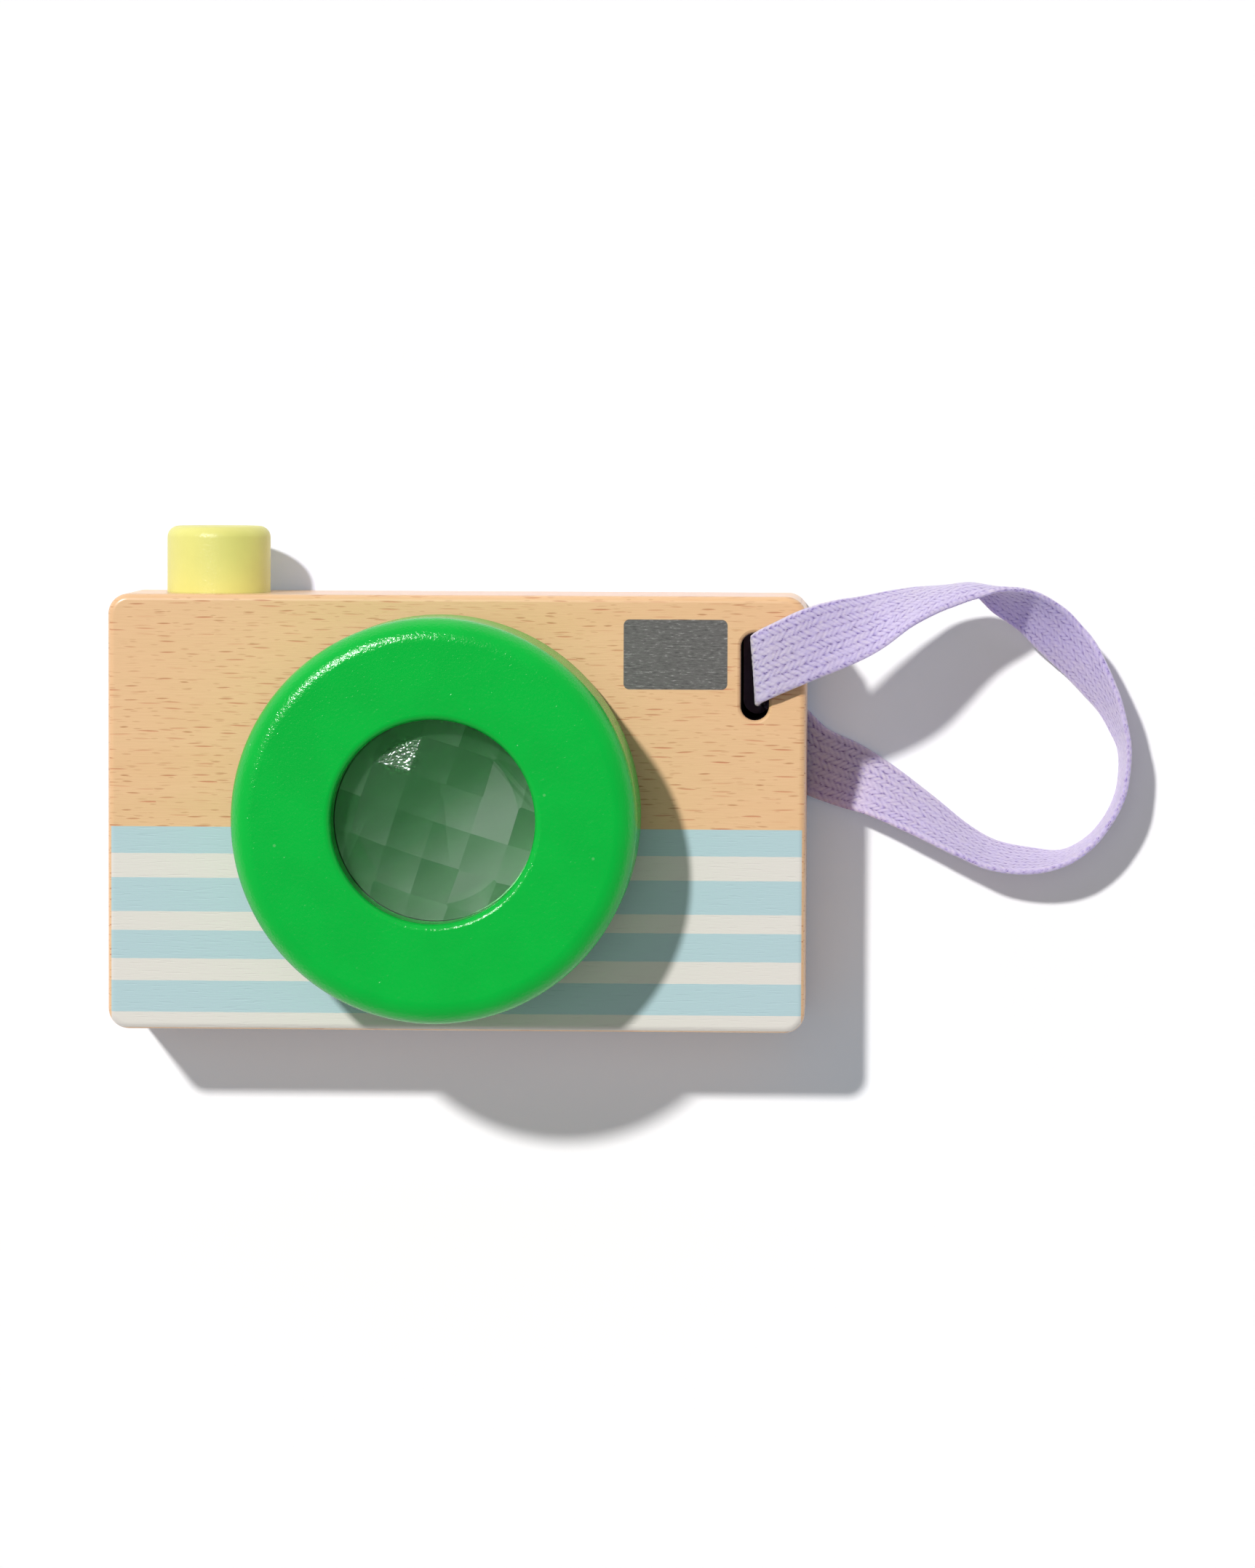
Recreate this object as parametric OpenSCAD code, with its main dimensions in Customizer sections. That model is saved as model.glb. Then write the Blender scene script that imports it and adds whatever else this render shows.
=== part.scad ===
// Wooden toy camera: turning lens ring with a faceted lens, sprung shutter button, wrist strap.
// It lies on its back: +Z points out of the lens, +Y towards the button, +X to the strap's side.
// All sizes are in millimetres.

/* [Block] */
// Width of the block, side to side
body_w = 120; // [112:1:150]
// Height of the block, without the button
body_h = 75; // [72:1:95]
// Depth of the block, back to front
body_d = 28; // [26:0.5:34]
// Radius of the block's four upright corners
corner_r = 3.5; // [2.5:0.5:8]
// Rounding of the edges round the front and the back
edge_r = 1.2; // [0.5:0.1:2]

/* [Lens ring] */
// How far the lens axis is from the middle of the block, to the right
lens_x = -2.4; // [-6:0.1:6]
// Outer diameter of the turning ring
ring_d = 68.6; // [62:0.2:70]
// Thickness of the ring along the lens axis
ring_t = 24; // [22:0.5:30]
// Rounding of the ring's front edge
ring_front_r = 4; // [1:0.5:4]
// Rounding of the ring's back edge
ring_back_r = 2.5; // [1:0.5:4]
// Diameter of the opening in front of the lens
aperture_d = 34.4; // [30:0.2:36]
// Length of the opening, from the ring's front to the lens seat
aperture_t = 7.2; // [6:0.2:9]
// Rounding of the opening's front edge
lip_r = 1.2; // [0.4:0.1:2]

/* [Lens] */
// Radius of the ball that the facets touch
lens_ball_r = 41.5; // [38:0.5:60]
// Side of one square facet, seen from the front
facet_w = 6.45; // [5:0.05:9]
// How far the facets are turned round the lens axis, in degrees
facet_turn = -18; // [-45:1:45]
// Thickness of the lens rim that is clamped
lens_rim_t = 3; // [2:0.2:4]
// Thickness of the soft ring behind the lens
seal_t = 0.8; // [0.5:0.1:1.5]

/* [Lens bearing] */
// Outer diameter of the sleeve that turns in the block
tube_d = 42; // [40:0.5:44]
// Wall of the sleeve
tube_wall = 4; // [3.8:0.1:4.5]
// Play round the collar at the back of the sleeve
flange_gap = 2.5; // [1.5:0.1:4]
// Thickness of the collar
flange_t = 2.5; // [2:0.1:3]
// Thickness of each slip ring
washer_t = 0.7; // [0.5:0.1:1]
// Thread diameter of the collar's screws
screw_d = 2; // [1.6:0.1:2.2]
// Length of the collar's screws
screw_len = 9; // [7:0.5:12]

/* [Eyepiece] */
// How far the ring that closes the back reaches beyond the sleeve
eyepiece_rim = 10; // [9:0.1:10.5]
// Thickness of that ring
eyepiece_t = 3; // [2.4:0.1:3.5]
// How far that ring reaches inside the sleeve, round the opening to look through
eyepiece_lip = 1; // [0.6:0.1:3]
// Width of the rebate that the clear disc lies in
rebate_w = 2.5; // [2:0.1:4]
// Thickness of the clear disc
window_t = 1.8; // [1:0.1:2]

/* [Shutter button] */
// Distance of the button from the block's left side
button_from_side = 17.8; // [16:0.1:19]
// Diameter of the button
button_d = 17.9; // [15:0.1:18]
// How far the button stands out of the block
button_out = 11.5; // [8:0.5:14]
// How far the button reaches into the block
button_in = 14; // [13.5:0.5:16]
// Rounding of the button's top edge
button_r = 2; // [0.5:0.1:3]
// How far the button goes in when it is pressed
press = 4; // [2:0.1:4]
// Diameter of the cross pin
pin_d = 3; // [2:0.1:3]
// Depth of the cross pin below the top of the block
pin_depth = 8; // [7.5:0.1:8.5]
// Depth of the button's bore
bore_depth = 26; // [25:0.5:28]
// Wire of the spring
wire_d = 1; // [0.6:0.1:1.2]
// Outer diameter of the spring
spring_d = 11; // [8:0.1:11.2]
// Turns of the spring
spring_turns = 6; // [4:1:7]

/* [Strap] */
// Width of the tape
strap_w = 12; // [10:0.1:12.4]
// Thickness of the tape
strap_t = 1; // [0.6:0.1:1.1]
// Width of the slot in the block
slot_w = 4.8; // [4.4:0.1:6]
// Length of the slot in the block
slot_len = 15; // [14.5:0.1:18]
// Distance of the slot's middle from the block's right side
slot_from_side = 8.8; // [8:0.1:10]
// Distance of the slot's middle from the block's top
slot_from_top = 13.7; // [12:0.1:16]
// Depth of the hollow in the back that the tape lies in
relief_t = 2.2; // [2:0.1:3]

/* [Fits] */
// Radial play of the sleeve and of the button in their bores
run_fit = 0.06; // [0.02:0.01:0.09]
// Play between glued and clamped pieces
glue_fit = 0.03; // [0.02:0.01:0.05]
// Play along the lens axis at each slip ring
end_play = 0.05; // [0.03:0.01:0.09]

/* [Hidden] */
$fn = 96;

// The origin is in the middle of the outline with the button, so the block sits below it.
body_y = -button_out / 2;
top_y = body_y + body_h / 2;

// Heights along the lens axis, from the back
gap_z = 0.8;
flange_z = eyepiece_t + gap_z;
tube_z = flange_z + flange_t;
rear_washer_z = tube_z + end_play;
shelf_z = rear_washer_z + washer_t;
ring_z = body_d + washer_t + end_play;
front_z = ring_z + ring_t;
seat_z = front_z - aperture_t;
lens_z = seat_z - lens_rim_t;
seal_z = lens_z - seal_t;

tube_r = tube_d / 2;
tube_in_r = tube_r - tube_wall;
// The eyepiece follows the sleeve, and the clear disc lies in a rebate at its front.
eyepiece_r = tube_r + eyepiece_rim;
eyepiece_hole_r = tube_in_r - eyepiece_lip;
rebate_r = eyepiece_hole_r + rebate_w;
rebate_z = eyepiece_t - window_t;
flange_r = eyepiece_r - flange_gap;
ring_r = ring_d / 2;
aperture_r = aperture_d / 2;
bearing_r = tube_r + run_fit;
washer_in_r = tube_r + 0.5;
washer_out_r = flange_r - 1;
screw_r = screw_d / 2;
screw_head_r = 1.9 * screw_r;
screw_pcd_r = tube_r - tube_wall / 2;
screw_head_h = screw_head_r - screw_r;
driver_w = 0.4 * screw_r;

// The dome of the lens ends a little above its seat at the edge of the opening.
dome_r = aperture_r - 0.2;
dome_sag = lens_ball_r - sqrt(lens_ball_r * lens_ball_r - dome_r * dome_r);
ball_z = seat_z + 0.1 + dome_sag - lens_ball_r;
facets = [for (i = [-3:2]) for (j = [-3:2])
    let (u = (i + 0.5) * facet_w, v = (j + 0.5) * facet_w)
    if (norm([u, v]) < dome_r + 0.6 * facet_w) [norm([u, v]), atan2(v, u)]];

button_x = -body_w / 2 + button_from_side;
button_z = body_d / 2;
button_bore_r = button_d / 2 + run_fit;
pin_y = top_y - pin_depth;
pin_r = pin_d / 2;
pin_slot_r = pin_r + 0.08;
plug_r = pin_r + 1.5;
plug_t = 2.4;
pin_end_z = button_z + button_bore_r + 1.8;
floor_y = top_y - bore_depth;
seat_t = 0.8;
cup_r = spring_d / 2 + 0.4;
cup_t = 3;
spring_y = floor_y + seat_t;
spring_len = top_y - button_in + cup_t - spring_y;

slot_x = body_w / 2 - slot_from_side;
slot_y = top_y - slot_from_top;
relief_run = 15;

// The strap's way, from its front end in the slot, round the loop and back into the slot from behind.
// Each row is a point of the tape's middle line, measured from the slot's middle, with its height
// above the table, and then the direction across the tape. In the slot the tape keeps clear of the
// round ends.
end_y = max(0, strap_w / 2 - slot_len / 2 + slot_w / 2);
wall_x = sqrt(slot_w * slot_w / 4 - end_y * end_y) - strap_t / 2 - 0.05;
lap_x = wall_x - strap_t - 0.1;
edge_z = strap_w / 2 + 0.4;
strap_rows = [
    [lap_x, 0, 0.3 * body_d, 0, -1, 0],
    [lap_x, 0.4, 0.6 * body_d, 0, -1, 0],
    [0.3, 0.9, body_d - 1, 0.03, -1, 0],
    [0.2, 1.3, body_d + 1, 0.1, -1, 0],
    [1.7, 2.2, body_d + 2.1, 0.15, -1, 0],
    [4.7, 3.6, body_d + 2.3, 0.2, -0.98, 0],
    [9.4, 5.7, body_d + 2, 0.3, -0.95, 0.03],
    [14.5, 7.5, body_d, 0.3, -0.9, 0.3],
    [19.8, 9.2, 0.9 * body_d, 0.28, -0.73, 0.6],
    [25, 11.5, 0.8 * body_d, 0.25, -0.5, 0.85],
    [29.6, 12.9, 0.69 * body_d, 0.2, -0.33, 0.92],
    [33.7, 13.5, 0.61 * body_d, 0.1, -0.2, 0.97],
    [37.5, 13.7, 0.56 * body_d, 0, -0.05, 1],
    [42, 12.8, 0.48 * body_d, 0.15, 0.35, 0.92],
    [46.8, 11, 0.37 * body_d, 0.25, 0.55, 0.8],
    [51, 7.9, 0.26 * body_d, 0.38, 0.6, 0.7],
    [54, 5, edge_z - 0.6, 0.38, 0.58, 0.72],
    [56.9, 1.8, edge_z - 0.9, 0.37, 0.5, 0.79],
    [61.1, -4.7, edge_z - 0.3, 0.25, 0.28, 0.93],
    [63.1, -9.4, edge_z - 0.2, 0.15, 0.2, 0.97],
    [64.1, -13, edge_z, 0.1, 0.1, 0.99],
    [64.1, -17.3, edge_z, 0.07, 0.05, 1],
    [63.3, -21.6, edge_z, 0.06, 0.03, 1],
    [61.1, -26, edge_z, 0.04, 0, 1],
    [57.8, -29.8, edge_z, 0.02, -0.06, 1],
    [53.4, -32.3, edge_z, 0, -0.13, 0.99],
    [47.8, -32.8, edge_z - 0.2, -0.06, -0.28, 0.95],
    [41.2, -31.8, edge_z - 0.3, -0.12, -0.33, 0.93],
    [35.6, -29.1, edge_z - 0.5, -0.2, -0.37, 0.91],
    [29.2, -25.1, edge_z - 1, -0.3, -0.5, 0.82],
    [21.8, -20.8, 4.2, -0.38, -0.67, 0.62],
    [15.5, -18, 2.2, -0.4, -0.87, 0.28],
    [11, -16.2, 1.2, -0.42, -0.9, 0.06],
    [8.5, -14.4, 1, -0.4, -0.9, 0],
    [5.8, -10.8, 1, -0.3, -0.95, 0],
    [3.4, -5, 1, -0.1, -1, 0],
    [1.9, -1.5, 1.1, 0, -1, 0],
    [wall_x - 0.4, -0.4, 2.3, 0, -1, 0],
    [wall_x - 0.1, 0, 4.4, 0, -1, 0],
    [wall_x, 0, 0.5 * body_d, 0, -1, 0]
];
strap_steps = 4;

// Points of an arc in a flat outline
function arc(x, y, r, from, to, n = 6) =
    [for (i = [0:n]) let (a = from + (to - from) * i / n) [x + r * cos(a), y + r * sin(a)]];

// A slot's outline: two round ends, the lower one at the origin, the upper one at [0, len]
function slot_outline(r, len) = concat(arc(0, len, r, 0, 180, 12), arc(0, 0, r, 180, 360, 12));

function unit(v) = v / norm(v);

// A smooth curve through the rows, at the fraction t between row i and the next
function between(rows, i, t) =
    let (a = rows[max(i - 1, 0)], b = rows[i], c = rows[i + 1], d = rows[min(i + 2, len(rows) - 1)])
    (2 * b + (c - a) * t + (2 * a - 5 * b + 4 * c - d) * t * t
        + (3 * b - a - 3 * c + d) * t * t * t) / 2;

module on_lens_axis(z) {
    translate([lens_x, body_y, z]) children();
}

// Local +Z points down into the block, from the middle of the button's mouth
module on_button_axis(y) {
    translate([button_x, y, button_z]) rotate([90, 0, 0]) children();
}

module ring(r_out, r_in, h) {
    rotate_extrude() translate([r_in, 0]) square([r_out - r_in, h]);
}

// The block with all its edges rounded, from a core, four sides and four corners
module rounded_block() {
    core_w = body_w - 2 * corner_r;
    core_h = body_h - 2 * corner_r;
    inset = corner_r - edge_r;
    side = concat([[0, 0]], arc(inset, edge_r, edge_r, -90, 0),
        arc(inset, body_d - edge_r, edge_r, 0, 90), [[0, body_d]]);
    translate([0, body_y, 0]) {
        translate([-core_w / 2, -core_h / 2, 0]) cube([core_w, core_h, body_d]);
        for (turn = [0, 180]) rotate(turn) {
            translate([core_w / 2, core_h / 2, 0]) {
                rotate([90, 0, 0]) linear_extrude(core_h) polygon(side);
                rotate_extrude(angle = 90) polygon(side);
            }
            translate([-core_w / 2, core_h / 2, 0]) rotate(90) {
                rotate([90, 0, 0]) linear_extrude(core_w) polygon(side);
                rotate_extrude(angle = 90) polygon(side);
            }
        }
    }
}

module body_block() {
    color("burlywood") difference() {
        rounded_block();
        on_lens_axis(-1) cylinder(r = bearing_r, h = body_d + 2);
        on_lens_axis(-1) cylinder(r = eyepiece_r + glue_fit, h = shelf_z + 1);
        on_button_axis(top_y + 1) cylinder(r = button_bore_r, h = bore_depth + 1);
        translate([button_x, pin_y, -1]) cylinder(r = pin_r + glue_fit, h = pin_end_z + 1.2);
        translate([button_x, pin_y, -1]) cylinder(r = plug_r + glue_fit, h = plug_t + 1);
        translate([slot_x, slot_y - slot_len / 2 + slot_w / 2, -1])
            linear_extrude(body_d + 2) polygon(slot_outline(slot_w / 2, slot_len - slot_w));
        translate([slot_x - slot_w / 2, slot_y - slot_len / 2 - relief_run, -1])
            cube([slot_from_side + slot_w, slot_len + relief_run, relief_t + 1]);
    }
}

module front_washer() {
    color("dimgray") on_lens_axis(body_d) ring(washer_out_r, washer_in_r, washer_t);
}

module rear_washer() {
    color("dimgray") on_lens_axis(rear_washer_z) ring(washer_out_r, washer_in_r, washer_t);
}

module eyepiece_ring() {
    color("burlywood") on_lens_axis(0) rotate_extrude() polygon([
        [eyepiece_hole_r + 0.6, 0], [eyepiece_r, 0], [eyepiece_r, eyepiece_t],
        [rebate_r, eyepiece_t], [rebate_r, rebate_z], [eyepiece_hole_r, rebate_z],
        [eyepiece_hole_r, 0.6]]);
}

module eyepiece_window() {
    color("lightcyan", 0.4) on_lens_axis(rebate_z)
        cylinder(r = rebate_r - glue_fit, h = window_t);
}

module lens_ring() {
    glue_r = tube_r + glue_fit;
    outline = concat(
        [[glue_r, 0]],
        arc(ring_r - ring_back_r, ring_back_r, ring_back_r, -90, 0, 8),
        arc(ring_r - ring_front_r, ring_t - ring_front_r, ring_front_r, 0, 90, 8),
        arc(aperture_r + lip_r, ring_t - lip_r, lip_r, 90, 180),
        [[aperture_r, ring_t - aperture_t], [glue_r, ring_t - aperture_t]]);
    color("limegreen") on_lens_axis(ring_z) rotate_extrude() polygon(outline);
}

// Each facet is the flat cut that touches the ball at the facet's middle.
module faceted_lens() {
    color("darkseagreen", 0.5) on_lens_axis(0) {
        translate([0, 0, lens_z]) cylinder(r = tube_r - glue_fit, h = lens_rim_t);
        rotate(facet_turn) intersection() {
            translate([0, 0, lens_z]) cylinder(r = dome_r, h = lens_rim_t + 2 * dome_sag + 2);
            intersection_for (f = facets)
                translate([0, 0, ball_z]) rotate([0, asin(f[0] / lens_ball_r), f[1]])
                    cube(2 * lens_ball_r, center = true);
        }
    }
}

module lens_seal() {
    color("black") on_lens_axis(seal_z) ring(tube_r - glue_fit, tube_in_r + 0.2, seal_t);
}

module lens_tube() {
    color("tan") on_lens_axis(tube_z) difference() {
        ring(tube_r, tube_in_r, seal_z - tube_z);
        for (a = [0, 120, 240]) rotate(a) translate([screw_pcd_r, 0, -1])
            cylinder(r = screw_r + glue_fit, h = screw_len - flange_t + 2);
    }
}

module retaining_flange() {
    color("tan") on_lens_axis(flange_z) difference() {
        ring(flange_r, tube_in_r, flange_t);
        for (a = [0, 120, 240]) rotate(a) translate([screw_pcd_r, 0, 0]) {
            translate([0, 0, -1]) cylinder(r = screw_r + glue_fit, h = flange_t + 2);
            cylinder(r1 = screw_head_r + glue_fit, r2 = screw_r + glue_fit, h = screw_head_h);
        }
    }
}

module flange_screws() {
    color("silver") on_lens_axis(flange_z) for (a = [0, 120, 240])
        rotate(a) translate([screw_pcd_r, 0, 0]) difference() {
            union() {
                cylinder(r1 = screw_head_r, r2 = screw_r, h = screw_head_h);
                translate([0, 0, screw_head_h]) cylinder(r = screw_r, h = screw_len - screw_head_h);
            }
            for (t = [0, 90]) rotate(t)
                translate([-0.7 * screw_head_r, -driver_w / 2, -1])
                    cube([1.4 * screw_head_r, driver_w, 1.5]);
        }
}

module shutter_button() {
    r = button_d / 2;
    outline = concat([[0, 0]], arc(r - button_r, button_r, button_r, -90, 0, 8),
        [[r, button_out + button_in], [cup_r, button_out + button_in],
        [cup_r, button_out + button_in - cup_t], [0, button_out + button_in - cup_t]]);
    color("khaki") difference() {
        on_button_axis(top_y + button_out) rotate_extrude() polygon(outline);
        translate([button_x, pin_y, button_z - button_d])
            linear_extrude(2 * button_d) polygon(slot_outline(pin_slot_r, press));
    }
}

module button_spring() {
    r = (spring_d - wire_d) / 2;
    wire_r = wire_d / 2;
    steps = 16 * spring_turns;
    rise = spring_len - wire_d;
    points = [for (i = [0:steps])
        let (a = 360 * spring_turns * i / steps, z = wire_r + rise * i / steps)
        for (k = [0:5]) let (w = r + wire_r * cos(60 * k))
        [w * cos(a), w * sin(a), z + wire_r * sin(60 * k)]];
    coil = [for (i = [0:steps - 1]) for (k = [0:5]) let (m = (k + 1) % 6)
        each [[6 * i + k, 6 * i + m, 6 * i + 6 + m], [6 * i + k, 6 * i + 6 + m, 6 * i + 6 + k]]];
    color("silver") on_button_axis(spring_y + spring_len) polyhedron(points,
        concat(coil, [[for (k = [5:-1:0]) k], [for (k = [0:5]) 6 * steps + k]]));
}

module spring_seat() {
    color("silver") on_button_axis(spring_y) ring(button_bore_r - 0.4, 2, seat_t);
}

module button_pin() {
    color("silver") translate([button_x, pin_y, plug_t]) cylinder(r = pin_r, h = pin_end_z - plug_t);
}

module pin_plug() {
    color("burlywood") translate([button_x, pin_y, 0]) cylinder(r = plug_r, h = plug_t);
}

module strap() {
    last = len(strap_rows) - 1;
    way = concat(
        [for (i = [0:last - 1]) for (k = [0:strap_steps - 1]) between(strap_rows, i, k / strap_steps)],
        [strap_rows[last]]);
    n = len(way) - 1;
    points = [for (i = [0:n]) let (
            a = way[max(i - 1, 0)], b = way[min(i + 1, n)], p = way[i],
            across = unit([p[3], p[4], p[5]]),
            through = unit(cross([b[0] - a[0], b[1] - a[1], b[2] - a[2]], across)),
            w = across * strap_w / 2, t = through * strap_t / 2, c = [p[0], p[1], p[2]])
        each [c - w - t, c + w - t, c + w + t, c - w + t]];
    sides = [for (i = [0:n - 1]) for (k = [0:3]) let (m = (k + 1) % 4)
        each [[4 * i + k, 4 * i + 4 + m, 4 * i + m], [4 * i + k, 4 * i + 4 + k, 4 * i + 4 + m]]];
    color("plum") translate([slot_x, slot_y, 0])
        polyhedron(points, concat(sides, [[0, 1, 2, 3], [4 * n + 3, 4 * n + 2, 4 * n + 1, 4 * n]]));
}

module strap_stitches() {
    color("thistle") for (z = [0.35, 0.45]) for (y = [-3.6, 0, 3.6])
        translate([slot_x + lap_x - strap_t / 2 - 0.1, slot_y + y, z * body_d]) rotate([0, 90, 0])
            cylinder(r = 0.3, h = 2 * strap_t + 0.24, $fn = 16);
}

body_block();
front_washer();
rear_washer();
eyepiece_ring();
eyepiece_window();
lens_ring();
faceted_lens();
lens_seal();
lens_tube();
retaining_flange();
flange_screws();
shutter_button();
button_spring();
spring_seat();
button_pin();
pin_plug();
strap();
strap_stitches();
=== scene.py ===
"""Wooden toy camera: the looks built round its CAD frame.

Lengths are written in millimetres and scaled by MM, because the frame is in metres. The camera lies on
its back: +Z points out of the lens, +Y towards the button and +X to the strap's side.
"""
import math

import bpy
import numpy as np
from mathutils import Matrix, Vector


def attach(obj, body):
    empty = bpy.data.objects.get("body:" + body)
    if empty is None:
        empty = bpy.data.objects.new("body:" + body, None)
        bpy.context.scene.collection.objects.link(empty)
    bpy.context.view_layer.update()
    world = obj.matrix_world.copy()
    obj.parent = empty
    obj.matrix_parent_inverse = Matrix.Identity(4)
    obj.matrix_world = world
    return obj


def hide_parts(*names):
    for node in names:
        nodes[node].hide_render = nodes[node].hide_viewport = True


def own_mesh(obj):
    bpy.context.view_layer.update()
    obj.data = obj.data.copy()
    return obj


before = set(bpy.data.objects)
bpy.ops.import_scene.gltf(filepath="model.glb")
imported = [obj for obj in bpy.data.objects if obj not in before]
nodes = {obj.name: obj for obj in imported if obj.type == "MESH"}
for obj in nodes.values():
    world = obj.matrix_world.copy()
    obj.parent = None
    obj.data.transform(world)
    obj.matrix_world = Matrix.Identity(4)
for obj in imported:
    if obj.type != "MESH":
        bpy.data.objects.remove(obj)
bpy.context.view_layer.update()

MM = 0.001

# Sizes of the part, as in part.scad
BODY_W, BODY_H, BODY_D = 120.0, 75.0, 28.0
BODY_Y = -5.75                        # middle of the block in the frame
TOP_Y = BODY_Y + BODY_H / 2
CORNER_R, EDGE_R = 3.5, 1.2
RUN_FIT, GLUE_FIT = 0.06, 0.03        # play of running pieces and of glued ones
LENS_X, LENS_Y = -2.4, BODY_Y         # lens axis
TUBE_R = 21.0                         # sleeve that turns in the block
WASHER_T, FLANGE_T = 0.7, 2.5         # slip rings, and the collar behind the block
END_PLAY, EYEPIECE_GAP = 0.05, 0.8    # play along the lens axis, and from the collar to the eyepiece
RING_R, RING_T = 34.3, 24.0
RING_Z = BODY_D + WASHER_T + END_PLAY
RING_FRONT_R, RING_BACK_R, LIP_R = 4.0, 2.5, 1.2
APERTURE_R, APERTURE_T = 17.2, 7.2
LENS_BALL_R, FACET_W, FACET_TURN = 41.5, 6.45, -18
EYEPIECE_R, EYEPIECE_T, EYEPIECE_HOLE_R = 31.0, 3.0, 16.0
REBATE_R, REBATE_Z = 18.5, 1.2        # step in the eyepiece for the clear disc
# Shelf in the block for the rear slip ring
SHELF_Z = EYEPIECE_T + EYEPIECE_GAP + FLANGE_T + END_PLAY + WASHER_T
BUTTON_X, BUTTON_Z = -42.2, 14.0      # button axis
BUTTON_R, BUTTON_OUT, BUTTON_IN, BUTTON_EDGE_R = 8.95, 11.5, 14.0, 2.0
BORE_DEPTH = 26.0
PRESS = 4.0                           # travel of the button
PIN_R, PIN_DEPTH = 1.5, 8.0           # cross pin, and how far below the top it lies
SLOT_X, SLOT_Y = 51.2, TOP_Y - 13.7   # middle of the strap's slot
SLOT_W, SLOT_LEN = 4.8, 15.0
RELIEF_T = 2.2                        # depth of the hollow in the back that the tape lies in
STRAP_W = 12.0

AXIS_R = 0.001                        # radius that stands for the axis of a turned piece
SMOOTH_BELOW = 40                     # degrees between faces that are still shaded as one


# Camera and light

def add_camera():
    """The photograph's camera, as fitted to the block, the ring and their shadows."""
    focal_px, photo_height_px, sensor = 8721.0, 2156.0, 36.0
    data = bpy.data.cameras.new("camera")
    data.sensor_width = sensor
    data.lens = focal_px / photo_height_px * sensor
    data.clip_start, data.clip_end = 0.05, 20.0
    cam = bpy.data.objects.new("camera", data)
    bpy.context.scene.collection.objects.link(cam)
    to_camera = (Matrix.Rotation(-0.0059, 3, "Z") @ Matrix.Rotation(-0.0370, 3, "Y")
                 @ Matrix.Rotation(0.0572, 3, "X"))
    place = Vector((69.69, 67.41 + BODY_Y, 1113.17)) * MM
    cam.matrix_world = Matrix.Translation(place) @ to_camera.transposed().to_4x4()
    bpy.context.scene.camera = cam


def add_sun(name, towards, level, angle, glossy=True):
    """A distant lamp that gives an upward face the brightness level."""
    towards = Vector(towards).normalized()
    data = bpy.data.lights.new(name, "SUN")
    data.energy = level * math.pi / -towards.z
    data.angle = math.radians(angle)
    lamp = bpy.data.objects.new(name, data)
    bpy.context.scene.collection.objects.link(lamp)
    lamp.rotation_euler = towards.to_track_quat("-Z", "Y").to_euler()
    lamp.visible_glossy = glossy


def add_world():
    """A pale room: bright round the horizon, dark overhead where the camera stands."""
    world = bpy.data.worlds.new("room")
    world.use_nodes = True
    bpy.context.scene.world = world
    t = world.node_tree
    t.nodes.clear()
    out = t.nodes.new("ShaderNodeOutputWorld")
    back = t.nodes.new("ShaderNodeBackground")
    t.links.new(back.outputs[0], out.inputs[0])
    coord = t.nodes.new("ShaderNodeTexCoord")
    xyz = t.nodes.new("ShaderNodeSeparateXYZ")
    t.links.new(coord.outputs["Generated"], xyz.inputs[0])
    stops = [(0.0, 0.66), (0.15, 0.58), (0.35, 0.27), (0.8, 0.22), (0.95, 0.05), (1.0, 0.03)]
    shade = ramp(t, xyz.outputs["Z"], [(z, (v, v, v * 1.01, 1)) for z, v in stops])
    t.links.new(shade, back.inputs["Color"])


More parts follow.
